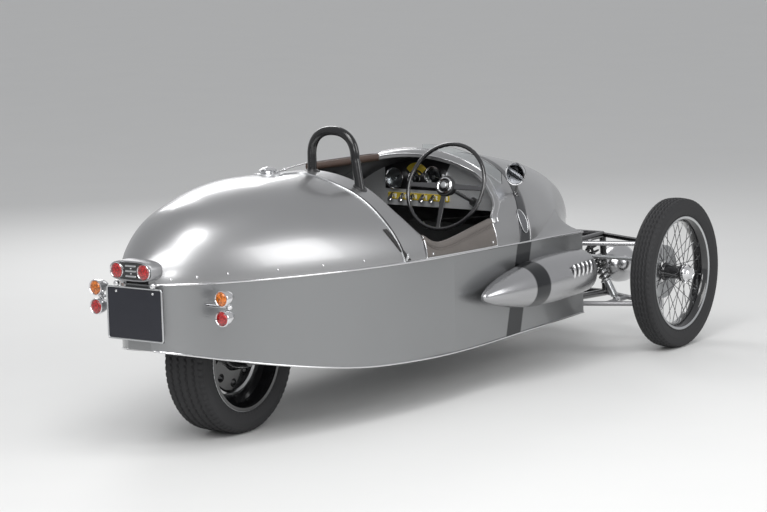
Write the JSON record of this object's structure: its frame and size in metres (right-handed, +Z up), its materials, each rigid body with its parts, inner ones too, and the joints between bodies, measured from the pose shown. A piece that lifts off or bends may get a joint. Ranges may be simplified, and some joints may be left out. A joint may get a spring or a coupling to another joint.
{
  "type": "three wheeled car",
  "caption": "Boat-tailed open three wheeled car with wire front wheels, one wide rear wheel, a right-hand driver's seat and a single roll hoop.",
  "frame": {"origin": "on the ground under the middle of the overall box", "axes": "+Z up, -Y towards the front, +X towards the driver's left; the car's middle plane is X = 0"},
  "size_m": [1.681, 3.343, 1.168],
  "materials": {
    "body_paint": "satin metallic silver",
    "bright": "polished",
    "black_tube": "gloss black",
    "black_part": "satin black",
    "dash": "brushed, black centre",
    "leather": "brown, stitched",
    "glass": "clear",
    "tyre": "black rubber",
    "wheel_black": "gloss black with bright edge",
    "alloy": "machined",
    "lamp_bright": "polished, red and amber lenses",
    "lamp_dark": "gloss black, red lenses",
    "plate": "blank, pale edge",
    "mass": "plain block"
  },
  "bodies": {
    "car_body": {"tub": "body_paint", "tail_shell": "body_paint", "rear_deck": "body_paint", "tonneau": "body_paint", "scuttle": "body_paint", "bonnet": "body_paint", "nose_cowl": "body_paint", "body_beads": "bright", "dash_panel": "dash", "gauges": "bright", "steering_column": "black_part", "elbow_pad": "leather", "seat_cushion": "leather", "seat_back": "leather", "roll_hoop": "black_tube", "filler_cap": "bright", "front_frame": "black_tube", "rack_housing": "alloy", "battery_block": "mass", "motor_block": "mass", "rear_arm": "black_tube", "aero_screen": "glass", "upper_wishbones": "bright", "lower_wishbones": "bright", "dampers": "black_part", "number_plate": "plate", "stop_lamp": "lamp_dark", "side_pod_right": "body_paint", "side_pod_left": "body_paint", "headlamp_right": "bright", "headlamp_left": "bright", "mirror_right": "bright", "mirror_left": "bright", "rear_lamps_right": "lamp_bright", "rear_lamps_left": "lamp_bright"},
    "steering_wheel_body": {"steering_wheel": "bright"},
    "rack_body": {"steering_rack": "bright"},
    "knuckle_right_body": {"knuckle_right": "alloy"},
    "knuckle_left_body": {"knuckle_left": "alloy"},
    "front_wheel_right_body": {"front_wheel_right": "wheel_black", "front_tyre_right": "tyre"},
    "front_wheel_left_body": {"front_wheel_left": "wheel_black", "front_tyre_left": "tyre"},
    "rear_wheel_body": {"rear_wheel": "wheel_black", "rear_tyre": "tyre"}
  },
  "joints": [
    {"name": "steering_turn", "type": "hinge", "parent": "car_body", "child": "steering_wheel_body", "pos_m": [-0.24, -0.1965, 0.853], "axis": [0, 0.9171, 0.3987], "range_deg": [-315, 315]},
    {"name": "rack_slide", "type": "slide", "parent": "car_body", "child": "rack_body", "axis": [1, 0, 0], "range_m": [-0.0517, 0.0517]},
    {"name": "steer_right", "type": "hinge", "parent": "car_body", "child": "knuckle_right_body", "pos_m": [-0.6555, -1.3285, 0.343], "axis": [0, 0, 1], "range_deg": [-28.01, 28.01]},
    {"name": "front_right_spin", "type": "hinge", "parent": "knuckle_right_body", "child": "front_wheel_right_body", "pos_m": [-0.7425, -1.3285, 0.343], "axis": [-1, 0, 0], "continuous": true},
    {"name": "steer_left", "type": "hinge", "parent": "car_body", "child": "knuckle_left_body", "pos_m": [0.6555, -1.3285, 0.343], "axis": [0, 0, 1], "range_deg": [-28.01, 28.01]},
    {"name": "front_left_spin", "type": "hinge", "parent": "knuckle_left_body", "child": "front_wheel_left_body", "pos_m": [0.7425, -1.3285, 0.343], "axis": [-1, 0, 0], "continuous": true},
    {"name": "rear_spin", "type": "hinge", "parent": "car_body", "child": "rear_wheel_body", "pos_m": [0, 1.0535, 0.3105], "axis": [-1, 0, 0], "continuous": true}
  ],
  "couplings": [
    {"joint": "steer_right", "follows": "steering_turn", "ratio": 0.088889},
    {"joint": "steer_left", "follows": "steering_turn", "ratio": 0.088889},
    {"joint": "rack_slide", "follows": "steering_turn", "m_per_rad": -0.0093932}
  ]
}
